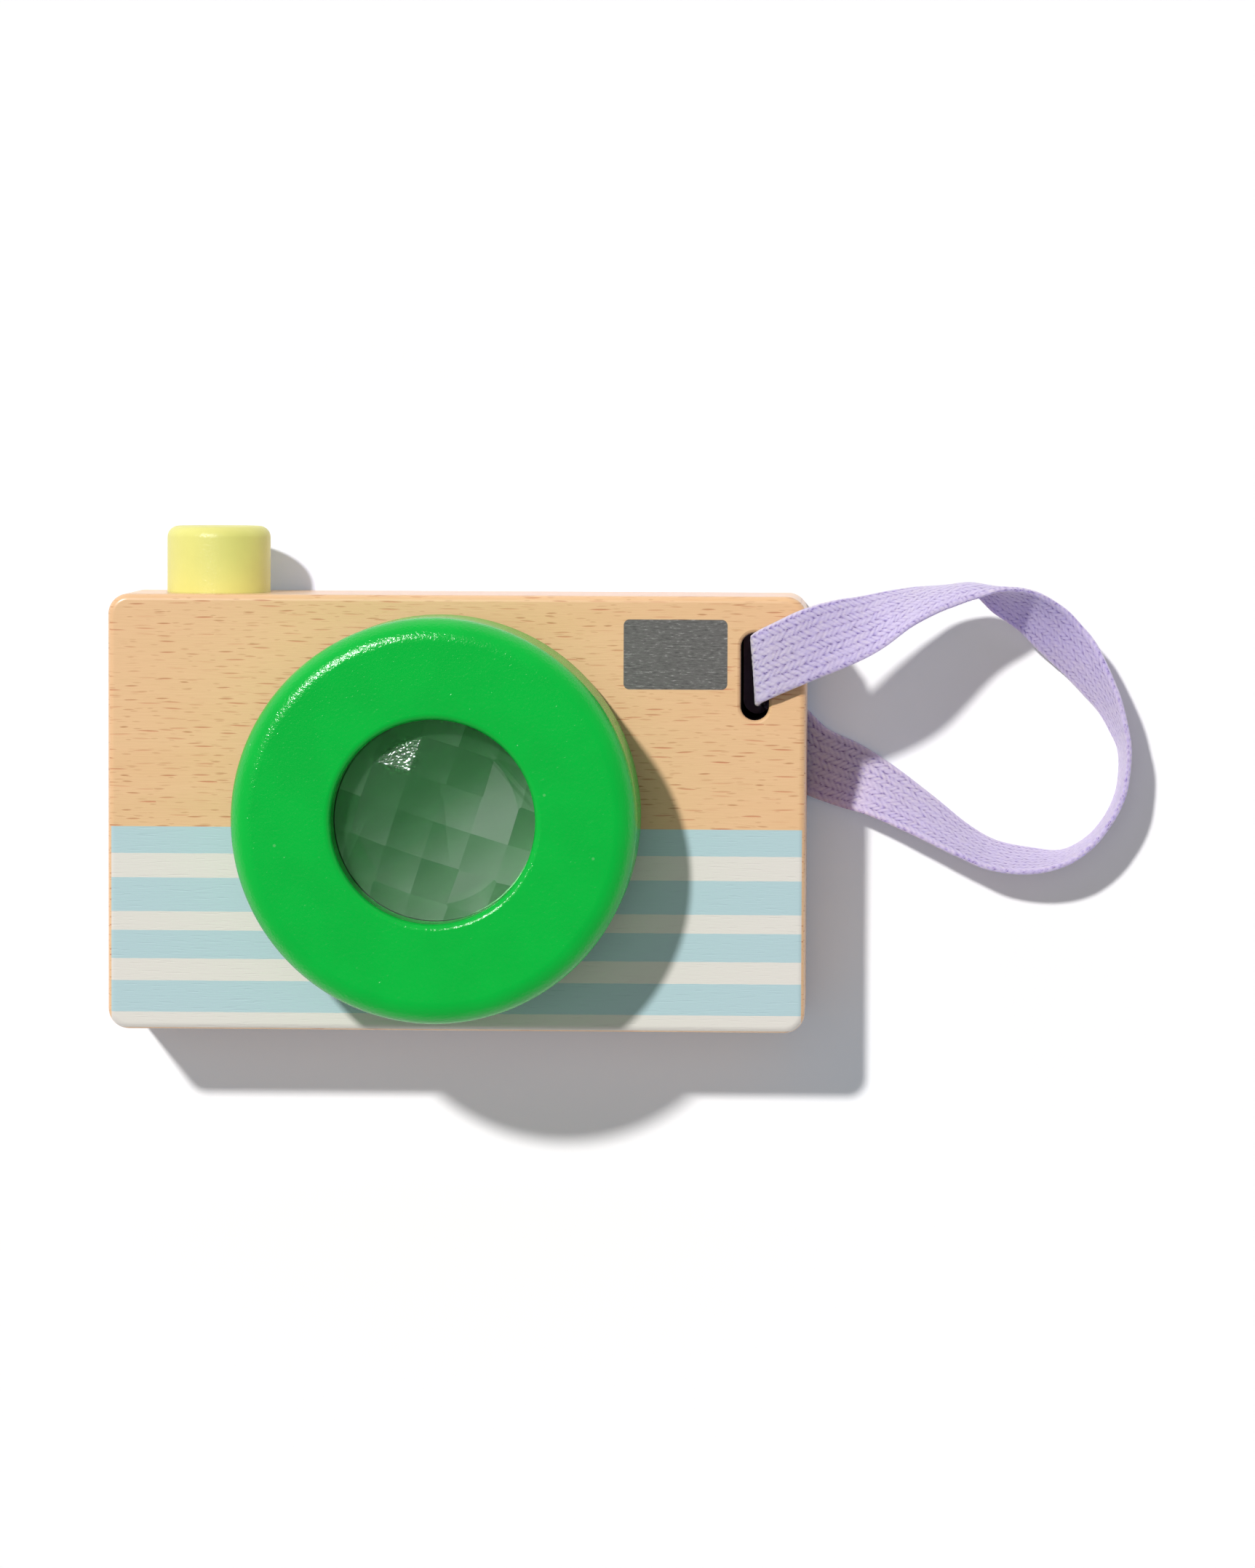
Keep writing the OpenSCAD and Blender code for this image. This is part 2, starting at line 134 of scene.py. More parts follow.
def add_floor():
    """A white table.

    As it is seen, a faint blue painted glow round the block, and a painted cooler white along the block's
    sunny side, are painted light that makes up for the warm light that the wood throws on it. Under the
    strap's slot it is painted dark, as painted shade.
    """
    mesh = bpy.data.meshes.new("floor")
    mesh.from_pydata([(-3, -3, 0), (3, -3, 0), (3, 3, 0), (-3, 3, 0)], [], [(0, 1, 2, 3)])
    floor = bpy.data.objects.new("floor", mesh)
    bpy.context.scene.collection.objects.link(floor)
    m, t, bsdf = material("floor", (0.95, 0.95, 0.95, 1), 1.0, 0.0)
    path = node(t, "LightPath")
    seen = calc(t, "MAXIMUM", path.outputs["Is Camera Ray"], path.outputs["Is Glossy Ray"])
    seen = calc(t, "MAXIMUM", seen, path.outputs["Is Transmission Ray"])
    xyz = node(t, "SeparateXYZ", {0: place_mm(t)})
    x, y = xyz.outputs["X"], xyz.outputs["Y"]

    # Painted light: a cooler white beside the block's sunny side, against the wood's warm light, fading
    # outwards and towards the block's corners
    reach, fade = 20, 10
    sunny = calc(t, "MULTIPLY", calc(t, "GREATER_THAN", y, TOP_Y), fit(t, y, TOP_Y, TOP_Y + reach, 1, 0))
    width = fit(t, calc(t, "ABSOLUTE", x), BODY_W / 2 - fade, BODY_W / 2, 1, 0)
    sunny = calc(t, "MULTIPLY", sunny, width)
    white = mix(t, sunny, (0.985, 0.972, 0.968, 1), (0.88, 0.89, 1.0, 1))

    # Painted shade: dark under the slot, inside the block's outline
    under_x = inside(t, x, SLOT_X - 5, BODY_W / 2 - 2)
    under_y = inside(t, y, SLOT_Y - 10, SLOT_Y + 9)
    white = mix(t, calc(t, "MULTIPLY", under_x, under_y), white, (0.5, 0.38, 0.55, 1))
    plain_white = node(t, "BsdfDiffuse", {0: white})

    # Painted light: a blue glow that is strongest near the block, by the distance from a line just inside
    # the block's outline
    inset = 1
    from_middle = calc(t, "ABSOLUTE", calc(t, "SUBTRACT", y, BODY_Y))
    out_x = calc(t, "SUBTRACT", calc(t, "ABSOLUTE", x), BODY_W / 2 - inset)
    out_y = calc(t, "SUBTRACT", from_middle, BODY_H / 2 - inset)
    away = calc(t, "MAXIMUM", out_x, out_y)
    near = calc(t, "MULTIPLY", calc(t, "GREATER_THAN", away, 0.0), fit(t, away, 8, 40, 1, 0.2))
    near = calc(t, "MULTIPLY_ADD", sunny, 0.8, near)
    glow = node(t, "Emission", {"Color": (0.008, 0.042, 0.078, 1), "Strength": near})

    both = node(t, "AddShader", {0: plain_white.outputs[0], 1: glow.outputs[0]})
    out = node(t, "MixShader", {0: seen, 1: bsdf.outputs[0], 2: both.outputs[0]})
    t.links.new(out.outputs[0], t.nodes["Material Output"].inputs[0])
    mesh.materials.append(m)


# Shader helpers

def linear(r, g, b):
    """A colour given as 0 to 255 on screen, as Blender's linear values."""
    c = [v / 255 for v in (r, g, b)]
    return tuple(v / 12.92 if v <= 0.04045 else ((v + 0.055) / 1.055) ** 2.4 for v in c) + (1.0,)


def node(t, kind, inputs=None, **attrs):
    """A shader node. Inputs are given by name or number, as a value or as another node's output."""
    n = t.nodes.new("ShaderNode" + kind)
    for k, v in attrs.items():
        setattr(n, k, v)
    for k, v in (inputs or {}).items():
        if isinstance(v, bpy.types.NodeSocket):
            t.links.new(v, n.inputs[k])
        else:
            n.inputs[k].default_value = v
    return n


def calc(t, op, a, b=None, c=None):
    inputs = {i: v for i, v in enumerate((a, b, c)) if v is not None}
    return node(t, "Math", inputs, operation=op).outputs[0]


def vector(t, op, a, b=None):
    """Vector arithmetic. The result is a number for the length, the distance and the dot product."""
    inputs = {i: v for i, v in enumerate((a, b)) if v is not None}
    n = node(t, "VectorMath", inputs, operation=op)
    return n.outputs["Value" if op in ("LENGTH", "DISTANCE", "DOT_PRODUCT") else "Vector"]


def times(t, v, scale):
    return vector(t, "MULTIPLY", v, scale)


def ramp(t, fac, stops, interpolation="LINEAR"):
    n = node(t, "ValToRGB", {0: fac})
    n.color_ramp.interpolation = interpolation
    e = n.color_ramp.elements
    while len(e) < len(stops):
        e.new(0.5)
    for element, (pos, colour) in zip(e, stops):
        element.position, element.color = pos, colour
    return n.outputs[0]


def mix(t, fac, a, b, blend="MIX"):
    n = node(t, "Mix", {0: fac, 6: a, 7: b}, data_type="RGBA", blend_type=blend)
    return n.outputs[2]


def either(t, fac, a, b):
    """The number a where fac is 0, and b where it is 1."""
    return node(t, "Mix", {0: fac, 2: a, 3: b}, data_type="FLOAT").outputs[0]


def fit(t, value, low, high, to_low, to_high, smooth=True):
    """The value's place between low and high, as a number between to_low and to_high."""
    kind = "SMOOTHSTEP" if smooth else "LINEAR"
    return node(t, "MapRange", {0: value, 1: low, 2: high, 3: to_low, 4: to_high},
                interpolation_type=kind).outputs[0]


def inside(t, value, low, high, soft=0.04):
    """1 where the value is between low and high, 0 outside, with a soft border."""
    up = fit(t, value, low - soft, low + soft, 0, 1, False)
    down = fit(t, value, high - soft, high + soft, 1, 0, False)
    return calc(t, "MULTIPLY", up, down)


def noise(t, v, detail=2.0, rough=0.5):
    return node(t, "TexNoise", {"Vector": v, "Scale": 1.0, "Detail": detail, "Roughness": rough}).outputs[0]


def place_mm(t):
    """A point's place in the frame, in millimetres."""
    coord = node(t, "TexCoord").outputs["Object"]
    return times(t, coord, (1000, 1000, 1000))


def bump(t, bsdf, height, depth_mm, layer="Normal"):
    n = node(t, "Bump", {"Height": height, "Distance": depth_mm * MM, "Strength": 1.0})
    t.links.new(n.outputs[0], bsdf.inputs[layer])


def material(name, colour, rough, specular=0.5):
    """A new material, as (material, node tree, its main shader)."""
    m = bpy.data.materials.new(name)
    m.use_nodes = True
    t = m.node_tree
    t.nodes.clear()
    out = t.nodes.new("ShaderNodeOutputMaterial")
    bsdf = node(t, "BsdfPrincipled", {"Base Color": colour, "Roughness": rough,
                                      "Specular IOR Level": specular})
    t.links.new(bsdf.outputs[0], out.inputs[0])
    m.diffuse_color = colour
    return m, t, bsdf


# Materials

def flecks(t, along, across, cell, length, thick, strong):
    """Short tapered dashes, one to a cell of that size, as (how strong, random number).

    Cell is (along, across). Length and strong are (least, most). Lengths are in millimetres.
    """
    cell_u, cell_v = calc(t, "DIVIDE", along, cell[0]), calc(t, "DIVIDE", across, cell[1])
    place = node(t, "CombineXYZ", {0: cell_u, 1: cell_v}).outputs[0]
    cells = node(t, "TexVoronoi", {"Vector": place, "Scale": 1.0, "Randomness": 0.9},
                 voronoi_dimensions="2D")
    chance = node(t, "SeparateColor", {0: cells.outputs["Color"]})
    off = vector(t, "SUBTRACT", place, cells.outputs["Position"])
    off = node(t, "SeparateXYZ", {0: times(t, off, (cell[0], cell[1], 0))})
    half = fit(t, chance.outputs[0], 0, 1, length[0] / 2, length[1] / 2, False)
    u = calc(t, "DIVIDE", off.outputs[0], half)
    lean = calc(t, "MULTIPLY", calc(t, "SUBTRACT", chance.outputs[1], 0.4), off.outputs[0])
    v = calc(t, "DIVIDE", calc(t, "MULTIPLY_ADD", lean, 0.08, off.outputs[1]), thick / 2)
    edge = calc(t, "MULTIPLY_ADD", u, u, calc(t, "ABSOLUTE", v))
    there = fit(t, edge, 0.4, 1.25, 1, 0)
    much = fit(t, chance.outputs[2], 0, 1, strong[0], strong[1], False)
    return calc(t, "MULTIPLY", there, much), chance.outputs[0]


def beech_colour(t, p):
    """Bare beech: tone, fibres and the short brown rays. Returns (colour, height).

    The grain runs along X, and along Z on the block's ends.
    """
    xyz = node(t, "SeparateXYZ", {0: p})
    x, y, z = (xyz.outputs[k] for k in "XYZ")
    normal = node(t, "SeparateXYZ", {0: node(t, "TexCoord").outputs["Normal"]})
    top = calc(t, "GREATER_THAN", calc(t, "ABSOLUTE", normal.outputs[1]), 0.75)
    end = calc(t, "GREATER_THAN", calc(t, "ABSOLUTE", normal.outputs[0]), 0.75)
    along = either(t, end, x, z)
    across = either(t, top, y, z)
    drift = calc(t, "SUBTRACT", noise(t, times(t, p, (0.03, 0.07, 0.07))), 0.5)
    across = calc(t, "MULTIPLY_ADD", drift, 1.2, across)

    tone = ramp(t, noise(t, times(t, p, (0.02, 0.1, 0.1)), 3.0),
                [(0.3, linear(232, 186, 137)), (0.5, linear(235, 190, 143)), (0.7, linear(231, 188, 139))])
    line_u, line_v = calc(t, "MULTIPLY", along, 0.2), calc(t, "MULTIPLY", across, 4.0)
    fibre = noise(t, node(t, "CombineXYZ", {0: line_u, 1: line_v}).outputs[0], 3.0, 0.6)
    tone = mix(t, fit(t, fibre, 0.35, 0.75, 0.0, 0.2), tone, linear(216, 170, 122))

    # The short flecks are shifted so that they don't follow the long ones
    long, hue = flecks(t, along, across, cell=(5.2, 1.2), length=(1.7, 4.8), thick=0.29,
                       strong=(0.08, 0.82))
    shifted_u, shifted_v = calc(t, "ADD", along, 31.7), calc(t, "ADD", across, 17.3)
    short = flecks(t, shifted_u, shifted_v, cell=(3.6, 1.0), length=(0.9, 2.4), thick=0.25,
                   strong=(0.0, 0.5))[0]
    brown = mix(t, hue, linear(184, 126, 78), linear(200, 116, 78))
    colour = mix(t, short, tone, linear(196, 142, 96))
    colour = mix(t, long, colour, brown)
    height = calc(t, "SUBTRACT", fibre, calc(t, "MAXIMUM", long, short))
    return colour, height


def wooden(name):
    """A material for waxed wood. The wax shows where the wood is seen at a flat angle."""
    m, t, bsdf = material(name, linear(228, 190, 144), 0.55, 0.3)
    bsdf.inputs["Coat Weight"].default_value = 0.85
    bsdf.inputs["Coat Roughness"].default_value = 0.28
    return m, t, bsdf


def finish_wood(t, bsdf, colour, height):
    """Puts the colour and the grain's relief on the wood."""
    t.links.new(colour, bsdf.inputs["Base Color"])
    bump(t, bsdf, height, 0.03)


def beech(name):
    m, t, bsdf = wooden(name)
    colour, height = beech_colour(t, place_mm(t))
    finish_wood(t, bsdf, colour, height)
    return m


def printed_beech():
    """The block's outside: bare beech, the striped print and the grey window."""
    m, t, bsdf = wooden("printed_beech")
    p = place_mm(t)
    wood, height = beech_colour(t, p)
    xyz = node(t, "SeparateXYZ", {0: p})
    x, y, z = (xyz.outputs[k] for k in "XYZ")
    front = fit(t, z, BODY_D - 0.75, BODY_D - 0.65, 0, 1, False)

    # Print: edges of the stripes, from the lowest up, measured from the block's middle
    edges = [BODY_Y + e for e in (-37.2, -34.5, -29.1, -25.35, -20.4, -17.15, -11.44, -7.15, -2.5)]
    blue, cream = linear(180, 208, 214), linear(226, 222, 215)
    low, high = edges[0], edges[-1]
    ragged = calc(t, "MULTIPLY", calc(t, "SUBTRACT", noise(t, times(t, p, (0.5, 0.5, 0.5))), 0.5), 0.12)
    along = fit(t, calc(t, "ADD", y, ragged), low, high, 0, 1, False)
    stripes = ramp(t, along, [((e - low) / (high - low), blue if i % 2 else cream)
                              for i, e in enumerate(edges[:-1])], "CONSTANT")
    stripes = mix(t, 0.05, stripes, wood, "MULTIPLY")
    side = BODY_W / 2 - 0.6
    printed = calc(t, "MULTIPLY", inside(t, y, low, high), inside(t, x, -side, side))
    printed = calc(t, "MULTIPLY", printed, front)
    colour = mix(t, printed, wood, stripes)

    # Grey window: a rounded rectangle
    mid_x, mid_y, half_w, half_h, corner, border = 37.6, BODY_Y + 27.5, 8.9, 6.0, 1.0, 0.05
    past_x = calc(t, "SUBTRACT", calc(t, "ABSOLUTE", calc(t, "SUBTRACT", x, mid_x)), half_w - corner)
    past_y = calc(t, "SUBTRACT", calc(t, "ABSOLUTE", calc(t, "SUBTRACT", y, mid_y)), half_h - corner)
    past = node(t, "CombineXYZ", {0: calc(t, "MAXIMUM", past_x, 0.0), 1: calc(t, "MAXIMUM", past_y, 0.0)})
    away = vector(t, "LENGTH", past.outputs[0])
    window = calc(t, "MULTIPLY", fit(t, away, corner - border, corner + border, 1, 0, False), front)
    specks = noise(t, times(t, p, (0.9, 3.6, 3.6)), 4.0, 0.7)
    grey = ramp(t, specks, [(0.3, linear(70, 69, 68)), (0.46, linear(97, 95, 93)),
                            (0.58, linear(104, 102, 100)), (0.7, linear(158, 156, 154))])
    colour = mix(t, window, colour, grey)

    finish_wood(t, bsdf, colour, height)
    return m


def paint(name, colour, rough):
    """Satin paint over turned wood: a slight change of shade, a few faint specks and a grainy gloss."""
    m, t, bsdf = material(name, colour, 0.5, 0.0)
    p = place_mm(t)
    shade = noise(t, times(t, p, (0.12, 0.12, 0.12)), 3.0)
    dark = tuple(0.94 * v for v in colour[:3]) + (1.0,)
    tone = mix(t, fit(t, shade, 0.3, 0.7, 0, 1), dark, colour)
    cells = node(t, "TexVoronoi", {"Vector": times(t, p, (0.16, 0.16, 0.16)), "Scale": 1.0})
    speck = fit(t, cells.outputs["Distance"], 0.03, 0.05, 0.1, 0.0)
    tone = mix(t, speck, tone, linear(230, 240, 225))
    t.links.new(tone, bsdf.inputs["Base Color"])
    bsdf.inputs["Coat Weight"].default_value = 0.8
    bsdf.inputs["Coat Roughness"].default_value = rough
    skin = noise(t, times(t, p, (2.0, 2.0, 2.0)), 2.0, 0.6)
    bump(t, bsdf, skin, 0.09, "Coat Normal")
    return m


def clear_acrylic(name, colour):
    """Clear plastic with a fine skin, a little milky. Lamplight passes through it."""
    m, t, bsdf = material(name, colour, 0.05, 0.5)
    bsdf.inputs["IOR"].default_value = 1.49
    bsdf.inputs["Transmission Weight"].default_value = 0.94
    skin = noise(t, times(t, place_mm(t), (2.4, 2.4, 2.4)), 2.0, 0.6)
    bump(t, bsdf, skin, 0.016)
    through = node(t, "BsdfTransparent", {0: (0.8, 0.88, 0.82, 1)})
    both = node(t, "MixShader", {0: node(t, "LightPath").outputs["Is Shadow Ray"],
                                 1: bsdf.outputs[0], 2: through.outputs[0]})
    t.links.new(both.outputs[0], t.nodes["Material Output"].inputs[0])
    return m, t, bsdf


def lens_acrylic():
    """The lens: each facet has its own tint at random, and painted light: each facet is painted lighter
    towards one side, and the whole lens lighter towards +X and -Y.

    Facets are told apart by the way they face. They are counted from the axis, along the turned grid.
    """
    m, t, bsdf = clear_acrylic("lens_acrylic", linear(190, 222, 195))
    normal = node(t, "TexCoord").outputs["Normal"]

    def unturn(v):
        turned = node(t, "VectorRotate", {"Vector": v, "Angle": math.radians(-FACET_TURN)},
                      rotation_type="Z_AXIS")
        return turned.outputs[0]

    facets_per_slope = LENS_BALL_R / FACET_W
    cell = vector(t, "FLOOR", times(t, unturn(normal), (facets_per_slope, facets_per_slope, 0)))
    chance = node(t, "TexWhiteNoise", {"Vector": cell}, noise_dimensions="2D").outputs["Value"]
    place = vector(t, "SUBTRACT", place_mm(t), (LENS_X, LENS_Y, 0))
    place = unturn(times(t, place, (1, 1, 0)))
    off = vector(t, "SUBTRACT", times(t, place, (1 / FACET_W, 1 / FACET_W, 0)), cell)
    # Painted light: each facet is lighter towards one side, and the whole lens towards +X and -Y
    slope = vector(t, "DOT_PRODUCT", off, (0.23, -0.23, 0))
    wide = vector(t, "DOT_PRODUCT", place, (0.016, -0.012, 0))
    light = calc(t, "ADD", calc(t, "MULTIPLY_ADD", chance, 0.6, slope), wide)
    tint = ramp(t, light, [(0.05, linear(108, 178, 121)), (0.4, linear(150, 206, 160)),
                           (0.85, linear(222, 244, 226))])

    # Painted light: three facets are painted paler, inside a circle round the axis
    rim = 14.2
    pair = calc(t, "LESS_THAN", vector(t, "DISTANCE", cell, (1.0, 0.5, 0.0)), 0.6)
    third = calc(t, "LESS_THAN", vector(t, "DISTANCE", cell, (1.0, -2.0, 0.0)), 0.5)
    upper = node(t, "SeparateXYZ", {0: cell}).outputs["Y"]
    pair = calc(t, "MULTIPLY", pair, calc(t, "MULTIPLY_ADD", upper, -0.2, calc(t, "ADD", slope, 1.1)))
    within = fit(t, vector(t, "LENGTH", place), rim - 0.1, rim + 0.1, 1, 0, False)
    milky = calc(t, "MULTIPLY", calc(t, "MULTIPLY_ADD", third, 0.6, pair), within)
    tint = mix(t, milky, tint, linear(240, 250, 242))
    front = calc(t, "GREATER_THAN", node(t, "SeparateXYZ", {0: normal}).outputs["Z"], 0.5)
    t.links.new(mix(t, front, linear(225, 240, 228), tint), bsdf.inputs["Base Color"])
    return m


def plain(name, colour, rough, metal=0.0, grain=(3.0, 3.0, 3.0), depth=0.02, spread=0.12, shine=0.5):
    """One colour with a fine grain, for inner pieces and the slot."""
    m, t, bsdf = material(name, colour, rough, shine)
    bsdf.inputs["Metallic"].default_value = metal
    g = noise(t, times(t, place_mm(t), grain), 3.0)
    dark = tuple((1 - spread) * v for v in colour[:3]) + (1.0,)
    t.links.new(mix(t, fit(t, g, 0.3, 0.7, 0, 1), dark, colour), bsdf.inputs["Base Color"])
    bump(t, bsdf, g, depth)
    return m


def tape():
    """Woven tape: pale yarns with painted shade between them, and a fine fibre. Some light comes through it.
    """
    m, t, bsdf = material("tape", linear(206, 194, 228), 0.9, 0.1)
    bsdf.inputs["Sheen Weight"].default_value = 0.25
    bsdf.inputs["Subsurface Weight"].default_value = 0.7
    bsdf.inputs["Subsurface Radius"].default_value = (1.3, 1.2, 2.8)
    bsdf.inputs["Subsurface Scale"].default_value = MM
    high = node(t, "Attribute", attribute_name="weave").outputs["Fac"]
    uv = node(t, "UVMap", uv_map="tape").outputs[0]
    fibre = noise(t, times(t, uv, (1100.0, 2600.0, 1.0)), 3.0, 0.6)
    # Painted shade: the colour is darker where the weave is low, between the yarns
    colour = ramp(t, high, [(0.0, linear(92, 78, 128)), (0.5, linear(174, 159, 199)),
                            (1.0, linear(214, 204, 227))])
    colour = mix(t, fit(t, fibre, 0.3, 0.7, 0.3, 0.0), colour, linear(160, 145, 196))
    t.links.new(colour, bsdf.inputs["Base Color"])
    bump(t, bsdf, fibre, 0.05)
    return m


# Mesh helpers

def new_piece(name, verts, faces, mat, body, node_name, sharp=None):
    """A piece of the scene that rides on the body, replaces the node and has the material slot."""
    mesh = bpy.data.meshes.new(name)
    mesh.from_pydata([tuple(v) for v in verts], [], faces)
    mesh.validate()
    ob = bpy.data.objects.new(name, mesh)
    bpy.context.scene.collection.objects.link(ob)
    mesh.materials.append(mat)
    mesh.shade_smooth()
    if sharp is not None:
        mesh.set_sharp_from_angle(angle=math.radians(sharp))
    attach(ob, body)
    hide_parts(node_name)
    return ob


def arc(cx, cy, r, start, end, n):
    """Points of an arc from one angle to another, in n steps."""
    return [(cx + r * math.cos(math.radians(start + (end - start) * i / n)),
             cy + r * math.sin(math.radians(start + (end - start) * i / n))) for i in range(n + 1)]


def lathe(profile, n, closed=True):
    """Vertices and faces of a profile of (radius, height) points turned round Z in n steps."""
    verts = [(r * math.cos(2 * math.pi * k / n), r * math.sin(2 * math.pi * k / n), z)
             for r, z in profile for k in range(n)]
    m = len(profile)
    faces = []
    for i in range(m if closed else m - 1):
        j = (i + 1) % m
        faces += [(i * n + k, i * n + (k + 1) % n, j * n + (k + 1) % n, j * n + k) for k in range(n)]
    return verts, faces


def loft(rings):
    """Vertices and faces of closed rings with the same number of points, with a cap at both ends."""
    n = len(rings[0])
    verts = [p for ring in rings for p in ring]
    faces = []
    for i in range(len(rings) - 1):
        a, b = i * n, (i + 1) * n
        faces += [(a + k, a + (k + 1) % n, b + (k + 1) % n, b + k) for k in range(n)]
    faces += [tuple(reversed(range(n))), tuple(range((len(rings) - 1) * n, len(rings) * n))]
    return verts, faces


def tube(points, r, n=10):
    """Vertices and faces of a round wire along the points, closed at its ends."""
    pts = np.array(points, float)
    run = np.gradient(pts, axis=0)
    run /= np.linalg.norm(run, axis=1, keepdims=True)
    side = np.cross(run[0], (0.3, 0.5, 0.8))
    rings = []
    for p, d in zip(pts, run):
        side = side - d * np.dot(side, d)
        side /= np.linalg.norm(side)
        other = np.cross(d, side)
        rings.append([tuple(p + r * (math.cos(a) * side + math.sin(a) * other))
                      for a in np.linspace(0, 2 * math.pi, n, endpoint=False)])
    return loft(rings)


def lay_down(verts):
    """Turns a piece from the Z axis to the Y axis, so that its +Z side points to -Y."""
    return [(x, -z, y) for x, y, z in verts]


def to_m(verts, offset=(0, 0, 0)):
    return [((x + offset[0]) * MM, (y + offset[1]) * MM, (z + offset[2]) * MM) for x, y, z in verts]


def cut(ob, cutters):
    """Takes the cutters out of ob, and removes them."""
    for verts, faces in cutters:
        mesh = bpy.data.meshes.new("cutter")
        mesh.from_pydata(verts, [], faces)
        tool = bpy.data.objects.new("cutter", mesh)
        bpy.context.scene.collection.objects.link(tool)
        mod = ob.modifiers.new("cut", "BOOLEAN")
        mod.operation, mod.solver, mod.object = "DIFFERENCE", "EXACT", tool
        bpy.context.view_layer.update()
        result = bpy.data.meshes.new_from_object(ob.evaluated_get(bpy.context.evaluated_depsgraph_get()))
        ob.modifiers.remove(mod)
        old, ob.data = ob.data, result
        bpy.data.meshes.remove(old)
        bpy.data.objects.remove(tool)


def smooth_after_cut(ob):
    ob.data.shade_smooth()
    ob.data.set_sharp_from_angle(angle=math.radians(SMOOTH_BELOW))


def weighted(ob):
    mod = ob.modifiers.new("normals", "WEIGHTED_NORMAL")
    mod.keep_sharp = True


# Block

def block_outline(inset, n=10):
    """The block's outline, that far inside its sides."""
    w, h = BODY_W / 2 - CORNER_R, BODY_H / 2 - CORNER_R
    r = CORNER_R - inset
    pts = []
    for cx, cy, start in ((w, h, 0), (-w, h, 90), (-w, -h, 180), (w, -h, 270)):
        pts += arc(cx, cy + BODY_Y, r, start, start + 90, n)
    return pts


def slot_ring(out, z, n=14):
    """The strap slot's outline, widened by out, at height z."""
    r = SLOT_W / 2 + out
    e = SLOT_LEN / 2 - SLOT_W / 2
    pts = arc(SLOT_X, SLOT_Y + e, r, 0, 180, n) + arc(SLOT_X, SLOT_Y - e, r, 180, 360, n)
    return [(x, y, z) for x, y in pts]


def block_cutters(soft):
    """What is cut out of the block, in metres: slot, lens bore, button bore, pin hole and the tape's hollow.

    Each cutter reaches past the face that it opens. The slot's mouth is rounded by soft.
    """
    past = 1
    mouth = [slot_ring(0, -past), slot_ring(0, BODY_D - soft)]
    for a in (20, 40, 60, 80):
        c, s = math.cos(math.radians(a)), math.sin(math.radians(a))
        mouth.append(slot_ring(soft * (1 - c), BODY_D - soft + soft * s))
    mouth.append(slot_ring(soft + 0.3, BODY_D + 0.3))
    slot = loft(mouth)

    eyepiece_r, bearing_r = EYEPIECE_R + GLUE_FIT, TUBE_R + RUN_FIT
    lens_bore = lathe([(AXIS_R, -past), (eyepiece_r, -past), (eyepiece_r, SHELF_Z), (bearing_r, SHELF_Z),
                       (bearing_r, BODY_D + past), (AXIS_R, BODY_D + past)], 128)

    bore_r, mouth_r, mouth_depth = BUTTON_R + RUN_FIT, 9.4, 0.3
    verts, faces = lathe([(AXIS_R, -past), (mouth_r, -past), (bore_r, mouth_depth), (bore_r, BORE_DEPTH),
                          (AXIS_R, BORE_DEPTH)], 96)
    button_bore = lay_down(verts), faces

    plug_r, plug_t, pin_r, pin_end = 3.0 + GLUE_FIT, 2.4, PIN_R + GLUE_FIT, 25.0
    pin_hole = lathe([(AXIS_R, -past), (plug_r, -past), (plug_r, plug_t), (pin_r, plug_t), (pin_r, pin_end),
                      (AXIS_R, pin_end)], 48)

    below_slot = 15
    x0, x1 = SLOT_X - SLOT_W / 2, BODY_W / 2 + 5
    y0, y1 = SLOT_Y - SLOT_LEN / 2 - below_slot, SLOT_Y + SLOT_LEN / 2
    hollow = loft([[(x0, y0, z), (x1, y0, z), (x1, y1, z), (x0, y1, z)] for z in (-past, RELIEF_T)])

    placed = [(slot, (0, 0, 0)), (lens_bore, (LENS_X, LENS_Y, 0)), (button_bore, (BUTTON_X, TOP_Y, BUTTON_Z)),
              (pin_hole, (BUTTON_X, TOP_Y - PIN_DEPTH, 0)), (hollow, (0, 0, 0))]
    return [(to_m(verts, offset), faces) for (verts, faces), offset in placed]


def build_block(mat, slot_mat):
    """The block with its bores, the hollow behind the slot, and the slot, whose walls have slot_mat."""
    rings = []
    for a in range(-90, 1, 15):
        c, s = math.cos(math.radians(a)), math.sin(math.radians(a))
        rings.append([(x, y, EDGE_R * (1 + s)) for x, y in block_outline(EDGE_R * (1 - c))])
    for a in range(0, 91, 15):
        c, s = math.cos(math.radians(a)), math.sin(math.radians(a))
        rings.append([(x, y, BODY_D - EDGE_R * (1 - s)) for x, y in block_outline(EDGE_R * (1 - c))])
    verts, faces = loft(rings)
    ob = new_piece("block", to_m(verts), faces, mat, "camera_body", "body_block")

    soft, near = 0.7, 0.1
    cut(ob, block_cutters(soft))
    ob.data.materials.append(slot_mat)
    for f in ob.data.polygons:
        x, y, z = f.center / MM
        by_slot = abs(x - SLOT_X) < SLOT_W / 2 + near and abs(y - SLOT_Y) < SLOT_LEN / 2 + near
        if by_slot and RELIEF_T + near < z < BODY_D - soft - near / 2 and abs(f.normal.z) < 0.5:
            f.material_index = 1
    smooth_after_cut(ob)
    weighted(ob)


# Turned pieces and the spring

